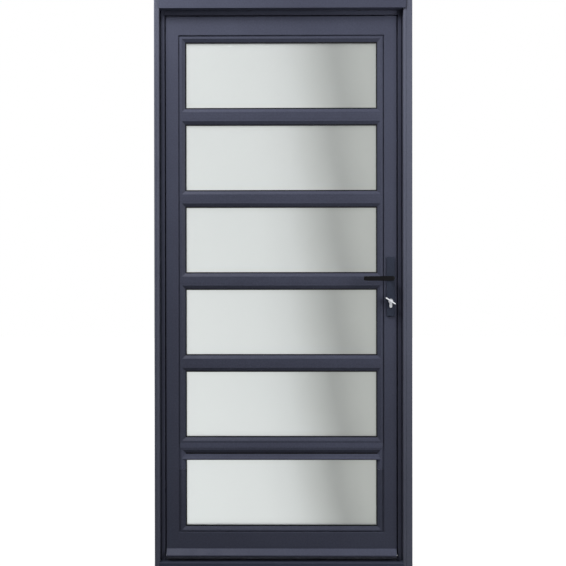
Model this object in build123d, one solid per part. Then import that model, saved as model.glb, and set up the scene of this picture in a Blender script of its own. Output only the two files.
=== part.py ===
from build123d import *
import os

# An aluminium entrance door in its own frame, millimetres.
# X runs across the door, Y from outdoors to indoors, Z up.
# The origin is under the threshold, on the leaf's centre line, in the plane of the leaf's outer face.
# The hinges are at low X on the indoor side and the lock is at high X. The leaf opens towards +Y.

# frame
LEFT_FACE = 18.0  # front width of the hinge jamb
RIGHT_FACE = 33.0  # front width of the lock jamb
HEAD_FACE = 34.5  # front height of the head
FRAME_PROJECTION = 32.0  # how far the frame stands out in front of the leaf
FRAME_WALL = 2.0
HOLLOW_END = 3.0  # each hollow profile is closed by a plate this thick
EASE_WIDTH = 9.0  # sloped strip along the frame's inner front edge
EASE_DEPTH = 2.5
QUIRK_WIDTH = 2.0  # fine groove beside that strip
QUIRK_DEPTH = 1.0
FRAME_EDGE_RADIUS = 2.0
TRIM_THICKNESS = 5.0  # cover strip on the head
TRIM_OVERLAP = 9.0  # how far the strip laps over the lock jamb
TRIM_CORNER = 6.0
TRIM_END_GAP = 1.0
THRESHOLD_HEIGHT = 20.0
THRESHOLD_NOSE = 4.0
STOP_LIP = 13.0  # width of the stop that the leaf closes against
STOP_GROOVE = 5.0  # shadow groove between the stop and the frame
STOP_GROOVE_DEPTH = 6.0
STOP_DEPTH = 27.0
STOP_EDGE_RADIUS = 1.5
SEAL_WIDTH = 8.0  # soft seal behind the stop
SEAL_INSET = 2.0
SEAL_CLEARANCE = 0.3

# leaf
LEAF_DEPTH = 65.0
LEAF_GAP = 4.0  # between the leaf's outer part and the stop
LAP = 17.0  # how far the indoor part of the leaf laps behind the stop
LAP_FRONT = 32.0  # depth at which that lap starts
FLOOR_GAP = 13.0  # from the threshold to the leaf
STILE_WIDTH = 48.0
TOP_RAIL_HEIGHT = 71.5
BOTTOM_RAIL_HEIGHT = 94.0
LEAF_WALL = 2.0
LEAF_EDGE_RADIUS = 2.5
LIGHT_WIDTH = 711.0  # glass seen from outside, between the gaskets
LIGHT_HEIGHT = 241.0
LOW_LIGHT_HEIGHT = 267.0  # the lowest opening, with its cap
BAR_COUNT = 5
BAR_CAP = 18.0  # height of a bar's own face, between two beads
BAR_CAP_DEPTH = 4.5
BAR_WEB = 10.0
BAR_WALL = 1.8
BAR_EDGE_RADIUS = 0.8

# glazing
GLASS_THICKNESS = 8.0
GLASS_COVER = 14.0  # glass hidden behind the beads at each edge
GASKET_FACE = 4.5
GASKET_LIP = 2.2
GASKET_TONGUE = 3.0
GASKET_THICKNESS = 1.0
INNER_GASKET = 3.0
BEAD_SETBACK = 1.5  # the beads' face lies this far behind the leaf's face
BEAD_DEPTH = 10.5
BEAD_BEVEL = 12.0
BEAD_LIP = 2.5  # thickness of a bead beside the gasket
BEAD_FLAT = 8.0
LOW_BEAD_FLAT = 4.0  # narrower flat round the lowest pane
GROOVE = 4.0  # shadow groove between the beads and the leaf's rails
BEAD_WALL = 1.8
INNER_BEAD_SETBACK = 3.0
INNER_BEAD_RISE = 22.0  # straight part of an indoor bead before its slope
CAP_HEIGHT = 22.0  # moulded ledge over the lowest pane
CAP_LEG = 58.0
CAP_JOINT = 0.8  # open joint under each leg of that ledge
CAP_STEP = 1.0
CAP_SLOPE_SHARE = 0.34  # levels of that ledge's section, as shares of its height from the top
CAP_STEP_TOP_SHARE = 0.44
CAP_STEP_FOOT_SHARE = 0.5
CAP_NOSE_SHARE = 0.78

# bottom edge
DRIP_TOP = 32.0  # above the leaf's lower edge
DRIP_HEIGHT = 24.0
DRIP_PROJECTION = 21.0
DRIP_NOSE = 4.0
DRIP_ROUND = 1.5
DRIP_WALL = 2.0
DRIP_END_INSET = 2.0
SWEEP_THICKNESS = 6.0
SWEEP_SETBACK = 20.0
SWEEP_CLEARANCE = 0.3

# lock and handles
BACKSET = 40.0  # from the edge of the leaf to the handle
HANDLE_HEIGHT = 1077.5
CENTRES = 85.0  # from the handle down to the cylinder
PLATE_WIDTH = 30.0
PLATE_ABOVE = 80.5  # plate above the handle's axis
PLATE_BELOW = 141.5
PLATE_THICKNESS = 7.0
PLATE_SKIN = 3.0
PLATE_CORNER = 3.0
PLATE_BEVEL = 1.2
NECK_BOSS = 1.6  # wall round the lever's neck, behind the plate's face
LEVER_REACH = 103.0
LEVER_HEEL = 11.0  # lever bar past the axis
LEVER_HEIGHT = 18.0
LEVER_THICKNESS = 12.0
LEVER_STANDOFF = 38.0  # from the plate to the lever bar
LEVER_TAPER = 1.0  # drop of each edge from the heel to the tip
LEVER_TIP_ROUND_SHARE = 0.55  # corner radii of the bar, as shares of half its height there
LEVER_HEEL_ROUND_SHARE = 0.9
LEVER_EDGE_ROUND_SHARE = 0.2  # of the bar's thickness
NECK_RADIUS = 9.0
RUNNING_CLEARANCE = 0.08
SPINDLE_SIDE = 8.0
SPINDLE_ROOM_SHARE = 0.75  # radius of the spindle's passage through the lock, as a share of its side
SPINDLE_CLEARANCE = 0.1
SPINDLE_BURIED = 20.0  # spindle inside each lever's neck
CYLINDER_RADIUS = 8.5
CYLINDER_STEM = 10.0
CYLINDER_HEIGHT = 33.0
CYLINDER_PROUD = 2.0
CYLINDER_CLEARANCE = 0.4
PLUG_RADIUS = 6.5
PLUG_LENGTH = 30.0
KEY_ANGLE = 33.0  # slope of the key's bow
KEY_THICKNESS = 2.6
KEY_BLADE = 8.0
KEY_BLADE_LENGTH = 24.0
KEY_SHOULDER = 4.0
KEY_BOW_WIDTH = 48.0
KEY_BOW_OFFSET = 2.5  # bow set off from the blade
KEY_BOW_DEPTH = 24.0
KEY_BOW_THICKNESS = 4.0
KEY_BOW_ROUND_SHARE = 0.42  # corner radius of the bow, as a share of its depth
KEY_RING_INSET = 4.0
KEY_HOLE_RADIUS = 3.5
KEY_CUT_PITCH = 3.6
KEY_CUTS = [1.6, 2.8, 1.2, 2.2, 1.8]
KEY_CLEARANCE = 0.15
CASE_THICKNESS = 16.0
CASE_BEHIND = 14.0  # lock case past the handle's axis
CASE_ABOVE = 50.0
CASE_BELOW = 175.0
LOCK_PLATE_WIDTH = 24.0
LOCK_PLATE_THICKNESS = 3.0
LOCK_PLATE_OVERRUN = 15.0
LATCH_HEIGHT = 26.0
LATCH_WIDTH = 12.0
LATCH_THROW = 11.0
LATCH_TAIL = 18.0
LATCH_NOSE = 3.0  # blunt end beside the latch's slope
LATCH_RISE = 17.0  # latch above the handle's axis
BOLT_HEIGHT = 30.0
BOLT_WIDTH = 10.0
BOLT_TAIL = 30.0
BOLT_RISE = 27.0  # deadbolt above the cylinder's axis
SLIDE_CLEARANCE = 0.3
KEEP_THICKNESS = 2.0
KEEP_WIDTH = 24.0
KEEP_OVERRUN = 22.0
KEEP_PLAY = 2.0
TRAY_DEPTH = 8.0  # recess in the jamb that the latch stands in, open to indoors
TRAY_WALL = 2.0
SCREW_RADIUS = 2.0
SCREW_HEAD_RADIUS = 3.6
SCREW_LENGTH = 14.0
THROUGH_SCREW_RADIUS = 2.5
THROUGH_HEAD_RADIUS = 4.5
THROUGH_HEAD = 2.5
PLATE_SCREW_INSET = 12.0

# hinges
HINGE_LEVELS = [260.0, 1060.0, 1860.0]
HINGE_HEIGHT = 100.0
HINGE_PLATE = 3.0
HINGE_RADIUS = 8.5
HINGE_STANDOFF = 9.0  # hinge axis in front of the indoor face
HINGE_PIN_RADIUS = 4.0
HINGE_PIN_CLEARANCE = 0.06
HINGE_MIDDLE = 39.0  # leaf knuckle between the two frame knuckles
HINGE_PLAY = 0.5
HINGE_CAP = 3.0
HINGE_CAP_INSET = 1.0
HINGE_OVERLAP = 1.0  # of a flap and the strip that joins it to its knuckle
FRAME_FLAP_WIDTH = 10.5
LEAF_FLAP_WIDTH = 20.0
FLAP_CLEARANCE = 2.5

# fixing holes through the jambs
FIXING_RADIUS = 5.25
FIXING_LEVELS = [200.0, 600.0, 1400.0, 1800.0]

SAME = 0.001  # lines this near to a level lie on it

# derived lines, from the middle of the door outwards
LIGHT_X = LIGHT_WIDTH / 2
BEAD_FACE = GASKET_FACE + BEAD_BEVEL + BEAD_FLAT
LOW_BEAD_FACE = GASKET_FACE + BEAD_BEVEL + LOW_BEAD_FLAT
REBATE = BEAD_FACE + GROOVE
STILE_X = LIGHT_X + REBATE
LEAF_X = STILE_X + STILE_WIDTH
LAP_X = LEAF_X + LAP
STOP_X = LEAF_X + LEAF_GAP
FRAME_X = STOP_X + STOP_LIP + STOP_GROOVE

# derived levels, from the floor upwards
LEAF_Z = THRESHOLD_HEIGHT + FLOOR_GAP
RAIL_Z = LEAF_Z + BOTTOM_RAIL_HEIGHT
BAR_HALF = BAR_CAP / 2
BAR_PITCH = LIGHT_HEIGHT + 2 * BEAD_FACE + BAR_CAP
LOW_LIGHT_Z = RAIL_Z + GROOVE + LOW_BEAD_FACE
LOW_BAR_Z = LOW_LIGHT_Z + LOW_LIGHT_HEIGHT + BEAD_FACE + BAR_HALF
TOP_BAR_Z = LOW_BAR_Z + (BAR_COUNT - 1) * BAR_PITCH
TOP_RAIL_Z = TOP_BAR_Z + BAR_HALF + BEAD_FACE + LIGHT_HEIGHT + REBATE
LEAF_TOP = TOP_RAIL_Z + TOP_RAIL_HEIGHT
LAP_TOP = LEAF_TOP + LAP
STOP_TOP = LEAF_TOP + LEAF_GAP
HEAD_Z = STOP_TOP + STOP_LIP + STOP_GROOVE
FRAME_TOP = HEAD_Z + HEAD_FACE

# derived depths, from outdoors to indoors
BEAD_BACK = BEAD_SETBACK + BEAD_DEPTH
GLASS_Y = BEAD_BACK + GASKET_THICKNESS
GLASS_BACK = GLASS_Y + GLASS_THICKNESS
INNER_BEAD_Y = GLASS_BACK + INNER_GASKET
FLANGE_Y = BEAD_SETBACK + BAR_CAP_DEPTH
LOCK_Y = (LAP_FRONT + LEAF_DEPTH) / 2

# handle, cylinder and hinge axes
LOCK_X = LAP_X - BACKSET
CYLINDER_Z = HANDLE_HEIGHT - CENTRES
HINGE_X = -(LAP_X + FRAME_X) / 2
HINGE_Y = LEAF_DEPTH + HINGE_STANDOFF
LATCH_Z = HANDLE_HEIGHT + LATCH_RISE
BOLT_Z = CYLINDER_Z + BOLT_RISE


def block(x0, x1, y0, y1, z0, z1):
    centre = Pos((x0 + x1) / 2, (y0 + y1) / 2, (z0 + z1) / 2)
    return centre * Box(x1 - x0, y1 - y0, z1 - z0)


def outline(points, rounds=()):
    """A flat polygon. rounds holds pairs of a point's index and its corner radius."""
    turn = sum(a[0] * b[1] - b[0] * a[1] for a, b in zip(points, points[1:] + points[:1]))
    ordered = points if turn > 0 else points[::-1]
    face = Polygon(*ordered, align=None)
    for index, radius in rounds:
        corner = Vector(*points[index])
        vertex = min(face.vertices(), key=lambda v: (Vector(v.X, v.Y, v.Z) - corner).length)
        face = fillet(vertex, radius)
    return face


def along_z(face, z0, z1):
    """An X, Y section raised from z0 to z1."""
    return extrude(Plane.XY.offset(z0) * face, z1 - z0)


def along_x(face, x0, x1):
    """A Y, Z section drawn from x0 to x1."""
    plane = Plane(origin=(x0, 0, 0), x_dir=(0, 1, 0), z_dir=(1, 0, 0))
    return extrude(plane * face, x1 - x0)


def along_y(face, y0, y1):
    """An X, Z section drawn from y0 to y1."""
    plane = Plane(origin=(0, y1, 0), x_dir=(1, 0, 0), z_dir=(0, -1, 0))
    return extrude(plane * face, y1 - y0)


def rod_x(radius, x0, x1, y, z):
    return Pos((x0 + x1) / 2, y, z) * Rot(0, 90, 0) * Cylinder(radius, x1 - x0)


def rod_y(radius, y0, y1, x, z):
    return Pos(x, (y0 + y1) / 2, z) * Rot(90, 0, 0) * Cylinder(radius, y1 - y0)


def rod_z(radius, z0, z1, x, y):
    return Pos(x, y, (z0 + z1) / 2) * Cylinder(radius, z1 - z0)


def flipped(points):
    """The same section on the hinge side."""
    return [(-x, y) for x, y in points]


def jamb_section(outer_x):
    """Front edge eased towards the reveal, with a fine groove beside the sloped strip."""
    front = -FRAME_PROJECTION
    ease = FRAME_X + EASE_WIDTH
    return [
        (FRAME_X, front + EASE_DEPTH),
        (ease, front),
        (ease, front + QUIRK_DEPTH),
        (ease + QUIRK_WIDTH, front + QUIRK_DEPTH),
        (ease + QUIRK_WIDTH, front),
        (outer_x, front),
        (outer_x, LEAF_DEPTH),
        (FRAME_X, LEAF_DEPTH),
    ]


def jamb_hollow(outer_x):
    return [
        (FRAME_X + FRAME_WALL, FRAME_WALL + EASE_DEPTH - FRAME_PROJECTION),
        (outer_x - FRAME_WALL, FRAME_WALL + EASE_DEPTH - FRAME_PROJECTION),
        (outer_x - FRAME_WALL, LEAF_DEPTH - FRAME_WALL),
        (FRAME_X + FRAME_WALL, LEAF_DEPTH - FRAME_WALL),
    ]


def fixing_bores(x0, x1):
    return [rod_x(FIXING_RADIUS, x0, x1, LOCK_Y, z) for z in FIXING_LEVELS]


def jamb(face_width, side):
    outer_x = FRAME_X + face_width
    section = jamb_section(outer_x)
    hollow = jamb_hollow(outer_x)
    if side < 0:
        section = flipped(section)
        hollow = flipped(hollow)
    body = along_z(outline(section, [(5, FRAME_EDGE_RADIUS)]), 0, FRAME_TOP)
    body -= along_z(outline(hollow), HOLLOW_END, FRAME_TOP - HOLLOW_END)
    ends = sorted([side * (FRAME_X - 1), side * (outer_x + 1)])
    for bore in fixing_bores(*ends):
        body -= bore
    return body


def left_jamb():
    return jamb(LEFT_FACE, -1)


def right_jamb():
    body = jamb(RIGHT_FACE, 1)
    body -= keep_blank(FRAME_X - 1)
    return body - latch_tray_blank(FRAME_X - 1)


def head():
    section = [
        (-FRAME_PROJECTION, HEAD_Z),
        (LEAF_DEPTH, HEAD_Z),
        (LEAF_DEPTH, FRAME_TOP),
        (-FRAME_PROJECTION, FRAME_TOP),
    ]
    hollow = [
        (FRAME_WALL - FRAME_PROJECTION, HEAD_Z + FRAME_WALL),
        (LEAF_DEPTH - FRAME_WALL, HEAD_Z + FRAME_WALL),
        (LEAF_DEPTH - FRAME_WALL, FRAME_TOP - FRAME_WALL),
        (FRAME_WALL - FRAME_PROJECTION, FRAME_TOP - FRAME_WALL),
    ]
    body = along_x(outline(section), -FRAME_X, FRAME_X)
    return body - along_x(outline(hollow), HOLLOW_END - FRAME_X, FRAME_X - HOLLOW_END)


def head_trim():
    """Cover strip on the head, lapping over the lock jamb, with one rounded lower corner."""
    face = [
        (TRIM_END_GAP - FRAME_X, HEAD_Z),
        (FRAME_X + TRIM_OVERLAP, HEAD_Z),
        (FRAME_X + TRIM_OVERLAP, FRAME_TOP),
        (TRIM_END_GAP - FRAME_X, FRAME_TOP),
    ]
    front = -FRAME_PROJECTION - TRIM_THICKNESS
    return along_y(outline(face, [(1, TRIM_CORNER)]), front, -FRAME_PROJECTION)


def threshold():
    """Low bar with a rounded nose outdoors and two hollows."""
    front = -FRAME_PROJECTION
    section = [(front, 0), (LEAF_DEPTH, 0), (LEAF_DEPTH, THRESHOLD_HEIGHT), (front, THRESHOLD_HEIGHT)]
    body = along_x(outline(section, [(3, THRESHOLD_NOSE)]), -FRAME_X, FRAME_X)
    middle = (front + LEAF_DEPTH) / 2
    wall = 2 * FRAME_WALL
    for y0, y1 in [(front + wall, middle - FRAME_WALL), (middle + FRAME_WALL, LEAF_DEPTH - wall)]:
        hollow = [
            (y0, FRAME_WALL),
            (y1, FRAME_WALL),
            (y1, THRESHOLD_HEIGHT - wall),
            (y0, THRESHOLD_HEIGHT - wall),
        ]
        body -= along_x(outline(hollow), HOLLOW_END - FRAME_X, FRAME_X - HOLLOW_END)
    return body


def stop_section():
    """Distance out from the stop's edge, and depth."""
    full = STOP_LIP + STOP_GROOVE
    return [
        (0, 0),
        (STOP_LIP, 0),
        (STOP_LIP, STOP_GROOVE_DEPTH),
        (full, STOP_GROOVE_DEPTH),
        (full, STOP_DEPTH),
        (0, STOP_DEPTH),
    ]


def stop_frame():
    section = stop_section()
    rounds = [(0, STOP_EDGE_RADIUS)]
    right = [(STOP_X + w, y) for w, y in section]
    top = [(y, STOP_TOP + w) for w, y in section]
    return [
        along_z(outline(flipped(right), rounds), THRESHOLD_HEIGHT, HEAD_Z),
        along_z(outline(right, rounds), THRESHOLD_HEIGHT, HEAD_Z),
        along_x(outline(top, rounds), -STOP_X, STOP_X),
    ]


def rebate_gasket():
    """Three strips behind the stops; the top one butts against the two uprights."""
    y0 = STOP_DEPTH
    y1 = LAP_FRONT - SEAL_CLEARANCE
    inner = STOP_X + SEAL_INSET
    outer = inner + SEAL_WIDTH
    low = STOP_TOP + SEAL_INSET
    high = low + SEAL_WIDTH
    return [
        block(-outer, -inner, y0, y1, LEAF_Z, high),
        block(inner, outer, y0, y1, LEAF_Z, high),
        block(-inner, inner, y0, y1, low, high),
    ]


def keep_span():
    return BOLT_Z - BOLT_HEIGHT / 2 - KEEP_OVERRUN, LATCH_Z + LATCH_HEIGHT / 2 + KEEP_OVERRUN


def keep_blank(x0):
    z0, z1 = keep_span()
    return block(x0, FRAME_X + KEEP_THICKNESS, LOCK_Y - KEEP_WIDTH / 2, LOCK_Y + KEEP_WIDTH / 2, z0, z1)


def latch_tray(x0, x1, y0, y1, grow):
    half = LATCH_HEIGHT / 2 + KEEP_PLAY + grow
    return block(x0, x1, y0, y1, LATCH_Z - half, LATCH_Z + half)


def latch_tray_blank(x0):
    y0 = LOCK_Y - LATCH_WIDTH / 2 - KEEP_PLAY - TRAY_WALL
    return latch_tray(x0, FRAME_X + TRAY_DEPTH + TRAY_WALL, y0, LEAF_DEPTH, TRAY_WALL)


def keep_screw_levels():
    z0, z1 = keep_span()
    return [z0 + KEEP_OVERRUN / 2, z1 - KEEP_OVERRUN / 2]


def countersunk_x(x, y, z, direction, radius=SCREW_RADIUS, head=SCREW_HEAD_RADIUS, length=SCREW_LENGTH):
    """A screw whose flat head lies at x and whose point is length away along X."""
    slope = head - radius
    shape = Polygon((0, 0), (head, 0), (radius, slope), (radius, length), (0, length), align=None)
    turned = revolve(Plane.XZ * shape, Axis.Z)
    return Pos(x, y, z) * Rot(0, 90 * direction, 0) * turned


def strike_plate():
    """Plate with a hole for the deadbolt and a tray, open to indoors, for the latch."""
    body = keep_blank(FRAME_X) + latch_tray_blank(FRAME_X)
    y0 = LOCK_Y - LATCH_WIDTH / 2 - KEEP_PLAY
    body -= latch_tray(FRAME_X - 1, FRAME_X + TRAY_DEPTH, y0, LEAF_DEPTH + 1, 0)
    half = BOLT_HEIGHT / 2 + KEEP_PLAY
    side = BOLT_WIDTH / 2 + KEEP_PLAY
    x0, x1 = FRAME_X - 1, FRAME_X + KEEP_THICKNESS + 1
    body -= block(x0, x1, LOCK_Y - side, LOCK_Y + side, BOLT_Z - half, BOLT_Z + half)
    for screw in strike_screws():
        body -= screw
    return body


def strike_screws():
    return [countersunk_x(FRAME_X, LOCK_Y, z, 1) for z in keep_screw_levels()]


def stile_section():
    return [
        (STILE_X, 0),
        (LEAF_X, 0),
        (LEAF_X, LAP_FRONT),
        (LAP_X, LAP_FRONT),
        (LAP_X, LEAF_DEPTH),
        (STILE_X, LEAF_DEPTH),
    ]


def stile_hollow():
    return [
        (STILE_X + LEAF_WALL, LEAF_WALL),
        (LEAF_X - LEAF_WALL, LEAF_WALL),
        (LEAF_X - LEAF_WALL, LAP_FRONT + LEAF_WALL),
        (LAP_X - LEAF_WALL, LAP_FRONT + LEAF_WALL),
        (LAP_X - LEAF_WALL, LEAF_DEPTH - LEAF_WALL),
        (STILE_X + LEAF_WALL, LEAF_DEPTH - LEAF_WALL),
    ]


def stile_edge_cut(side):
    """Rounds the stile's inner edge between the two rails only, so that the corners stay flush."""
    radius = LEAF_EDGE_RADIUS
    ends = sorted([side * STILE_X, side * (STILE_X + radius)])
    corner = block(*ends, 0, radius, RAIL_Z, TOP_RAIL_Z)
    return corner - rod_z(radius, RAIL_Z, TOP_RAIL_Z, side * (STILE_X + radius), radius)


def stile(side):
    section = stile_section()
    hollow = stile_hollow()
    if side < 0:
        section = flipped(section)
        hollow = flipped(hollow)
    body = along_z(outline(section, [(1, LEAF_EDGE_RADIUS)]), LEAF_Z, LAP_TOP)
    body -= stile_edge_cut(side)
    body -= along_z(outline(hollow), LEAF_Z + HOLLOW_END, LEAF_TOP - HOLLOW_END)
    ends = sorted([side * (STILE_X - 1), side * (LAP_X + 1)])
    body -= block(*ends, -1, LAP_FRONT, LEAF_TOP, LAP_TOP + 1)
    return body


def left_stile():
    return stile(-1)


def right_stile():
    """Cut for the lock's edge plate, the spindle, the cylinder and the plates' screws."""
    body = stile(1)
    body -= lock_plate_blank(LAP_X + 1)
    y0, y1 = -1, LEAF_DEPTH + 1
    body -= rod_y(NECK_RADIUS, y0, y1, LOCK_X, HANDLE_HEIGHT)
    body -= along_y(cylinder_face(CYLINDER_CLEARANCE), y0, y1)
    for z in plate_screw_levels():
        body -= rod_y(THROUGH_SCREW_RADIUS, y0, y1, LOCK_X, z)
    return body


def rail_section(z0, z1, lap):
    return [
        (0, z0),
        (LEAF_DEPTH, z0),
        (LEAF_DEPTH, z1 + lap),
        (LAP_FRONT, z1 + lap),
        (LAP_FRONT, z1),
        (0, z1),
    ]


def top_rail():
    rounds = [(0, LEAF_EDGE_RADIUS), (5, LEAF_EDGE_RADIUS)]
    body = along_x(outline(rail_section(TOP_RAIL_Z, LEAF_TOP, LAP), rounds), -STILE_X, STILE_X)
    w = LEAF_WALL
    hollow = [
        (w, TOP_RAIL_Z + w),
        (LEAF_DEPTH - w, TOP_RAIL_Z + w),
        (LEAF_DEPTH - w, LAP_TOP - w),
        (LAP_FRONT + w, LAP_TOP - w),
        (LAP_FRONT + w, LEAF_TOP - w),
        (w, LEAF_TOP - w),
    ]
    return body - along_x(outline(hollow), HOLLOW_END - STILE_X, STILE_X - HOLLOW_END)


def bottom_rail():
    section = [(0, LEAF_Z), (LEAF_DEPTH, LEAF_Z), (LEAF_DEPTH, RAIL_Z), (0, RAIL_Z)]
    body = along_x(outline(section, [(3, LEAF_EDGE_RADIUS)]), -STILE_X, STILE_X)
    w = LEAF_WALL
    hollow = [
        (w, LEAF_Z + w),
        (LEAF_DEPTH - w, LEAF_Z + w),
        (LEAF_DEPTH - w, RAIL_Z - w),
        (w, RAIL_Z - w),
    ]
    return body - along_x(outline(hollow), HOLLOW_END - STILE_X, STILE_X - HOLLOW_END)


def glazing_bar(level):
    """T-shaped hollow bar: its cap lies between two beads and holds their flanges."""
    y0, y1 = BEAD_SETBACK, FLANGE_Y
    cap = [
        (y0, level - BAR_HALF),
        (y1, level - BAR_HALF),
        (y1, level + BAR_HALF),
        (y0, level + BAR_HALF),
    ]
    rounds = [(0, BAR_EDGE_RADIUS), (3, BAR_EDGE_RADIUS)]
    reach = STILE_X - GROOVE
    body = along_x(outline(cap, rounds), -reach, reach)
    half = BAR_WEB / 2
    body += block(-STILE_X, STILE_X, y1, LEAF_DEPTH, level - half, level + half)
    inner = half - BAR_WALL
    hollow = block(
        HOLLOW_END - STILE_X,
        STILE_X - HOLLOW_END,
        y1 + BAR_WALL,
        LEAF_DEPTH - BAR_WALL,
        level - inner,
        level + inner,
    )
    return body - hollow


def bar_level(index):
    """Bars are numbered from the top."""
    return TOP_BAR_Z - (index - 1) * BAR_PITCH


def light_span(index):
    """Lower and upper edge of the glass seen in opening index, numbered from the top."""
    if index > BAR_COUNT:
        return LOW_LIGHT_Z, LOW_LIGHT_Z + LOW_LIGHT_HEIGHT
    low = bar_level(index) + BAR_HALF + BEAD_FACE
    return low, low + LIGHT_HEIGHT


def outer_bead_section(flat):
    """Open-backed bead outdoors: w is the distance out from the glass seen, and y the depth."""
    inner = GASKET_FACE
    shoulder = GASKET_FACE + BEAD_BEVEL
    edge = shoulder + flat
    y0, y1 = BEAD_SETBACK, BEAD_BACK
    tip = y1 - BEAD_LIP
    run = (tip - y0) / BEAD_BEVEL
    slope_wall = BEAD_WALL * (1 + run * run) ** 0.5
    deep = y0 + BEAD_WALL
    hollow_start = inner + 2 * BEAD_WALL
    hollow_y = tip - run * (hollow_start - inner) + slope_wall
    hollow_turn = hollow_start + (hollow_y - deep) / run
    return [
        (inner, y1),
        (inner, tip),
        (shoulder, y0),
        (edge, y0),
        (edge, FLANGE_Y),
        (REBATE, FLANGE_Y),
        (REBATE, y1),
        (edge - BEAD_WALL, y1),
        (edge - BEAD_WALL, deep),
        (hollow_turn, deep),
        (hollow_start, hollow_y),
        (hollow_start, y1),
    ]


def inner_bead_section():
    """Open-sided bead indoors."""
    y0 = INNER_BEAD_Y
    y1 = LEAF_DEPTH - INNER_BEAD_SETBACK
    turn = y0 + INNER_BEAD_RISE
    inner = GASKET_FACE
    shoulder = inner + BEAD_BEVEL
    w = BEAD_WALL
    return [
        (REBATE, y0),
        (REBATE, y0 + w),
        (inner + w, y0 + w),
        (inner + w, turn - w / 2),
        (shoulder + w / 2, y1 - w),
        (REBATE, y1 - w),
        (REBATE, y1),
        (shoulder, y1),
        (inner, turn),
        (inner, y0),
    ]


def strip(section, side, half, low, high, y0, y1):
    """One mitred strip round an opening: side is left, right, bottom or top."""
    reach = half + REBATE
    if side == "left":
        body = along_z(outline([(-half - w, y) for w, y in section]), low - REBATE, high + REBATE)
        mask = [(-reach, low - REBATE), (-half, low), (-half, high), (-reach, high + REBATE)]
    elif side == "right":
        body = along_z(outline([(half + w, y) for w, y in section]), low - REBATE, high + REBATE)
        mask = [(half, low), (reach, low - REBATE), (reach, high + REBATE), (half, high)]
    elif side == "bottom":
        body = along_x(outline([(y, low - w) for w, y in section]), -reach, reach)
        mask = [(-reach, low - REBATE), (reach, low - REBATE), (half, low), (-half, low)]
    else:
        body = along_x(outline([(y, high + w) for w, y in section]), -reach, reach)
        mask = [(-half, high), (half, high), (reach, high + REBATE), (-reach, high + REBATE)]
    return body & along_y(outline(mask), y0 - 1, y1 + 1)


def bead_ring(section, low, high, sides=("left", "right", "bottom", "top")):
    y0 = min(y for _, y in section)
    y1 = max(y for _, y in section)
    return [strip(section, side, LIGHT_X, low, high, y0, y1) for side in sides]


def cap_end():
    """Level at which the cap's legs end and the lowest pane's side beads begin."""
    return light_span(BAR_COUNT + 1)[1] - CAP_LEG


def above_rail(bodies):
    """The lowest opening's strips end on the bottom rail."""
    rail = block(-LEAF_X, LEAF_X, -1, LEAF_DEPTH + 1, LEAF_Z, RAIL_Z)
    return [body - rail for body in bodies]


def outer_bead(index):
    low, high = light_span(index)
    if index <= BAR_COUNT:
        return bead_ring(outer_bead_section(BEAD_FLAT), low, high)
    narrow = outer_bead_section(LOW_BEAD_FLAT)
    cut = block(-LEAF_X, LEAF_X, -1, LEAF_DEPTH, cap_end() - CAP_JOINT, high + REBATE + 1)
    sides = [body - cut for body in bead_ring(narrow, low, high, ("left", "right"))]
    lower = bead_ring(narrow, low, high, ("bottom",))
    upper = bead_ring(outer_bead_section(BEAD_FLAT), low, high, ("top",))
    return above_rail(sides + lower) + upper


def inner_bead(index):
    bodies = bead_ring(inner_bead_section(), *light_span(index))
    return bodies if index <= BAR_COUNT else above_rail(bodies)


def ring(half, low, high, w0, w1, y0, y1):
    outer = block(-half - w1, half + w1, y0, y1, low - w1, high + w1)
    return outer - block(-half - w0, half + w0, y0 - 1, y1 + 1, low - w0, high + w0)


def outer_gasket(index):
    low, high = light_span(index)
    lip = ring(LIGHT_X, low, high, 0, GASKET_FACE, GLASS_Y - GASKET_LIP, GLASS_Y)
    tongue = ring(LIGHT_X, low, high, 0, GASKET_FACE + GASKET_TONGUE, BEAD_BACK, GLASS_Y)
    return lip + tongue


def inner_gasket(index):
    low, high = light_span(index)
    w1 = GASKET_FACE + GASKET_TONGUE
    return ring(LIGHT_X, low, high, 1, w1, GLASS_BACK, INNER_BEAD_Y)


def glazing_gaskets():
    indexes = range(1, BAR_COUNT + 2)
    return [outer_gasket(i) for i in indexes] + [inner_gasket(i) for i in indexes]


def glass_pane(index):
    low, high = light_span(index)
    half = LIGHT_X + GLASS_COVER
    return block(-half, half, GLASS_Y, GLASS_BACK, low - GLASS_COVER, high + GLASS_COVER)


def cap_moulding():
    """Section of the ledge over the lowest pane: two slopes with a step between them."""
    top = light_span(BAR_COUNT + 1)[1]
    front = BEAD_SETBACK
    step = front + BEAD_LIP
    low = top - CAP_HEIGHT
    return [
        (GLASS_Y, top),
        (front + 2 * BEAD_LIP + CAP_STEP, top),
        (step + CAP_STEP, top - CAP_HEIGHT * CAP_SLOPE_SHARE),
        (step + CAP_STEP, top - CAP_HEIGHT * CAP_STEP_TOP_SHARE),
        (step, top - CAP_HEIGHT * CAP_STEP_FOOT_SHARE),
        (front, top - CAP_HEIGHT * CAP_NOSE_SHARE),
        (front, low + BEAD_LIP),
        (front + BEAD_LIP, low),
        (GLASS_Y, low),
    ]


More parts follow.
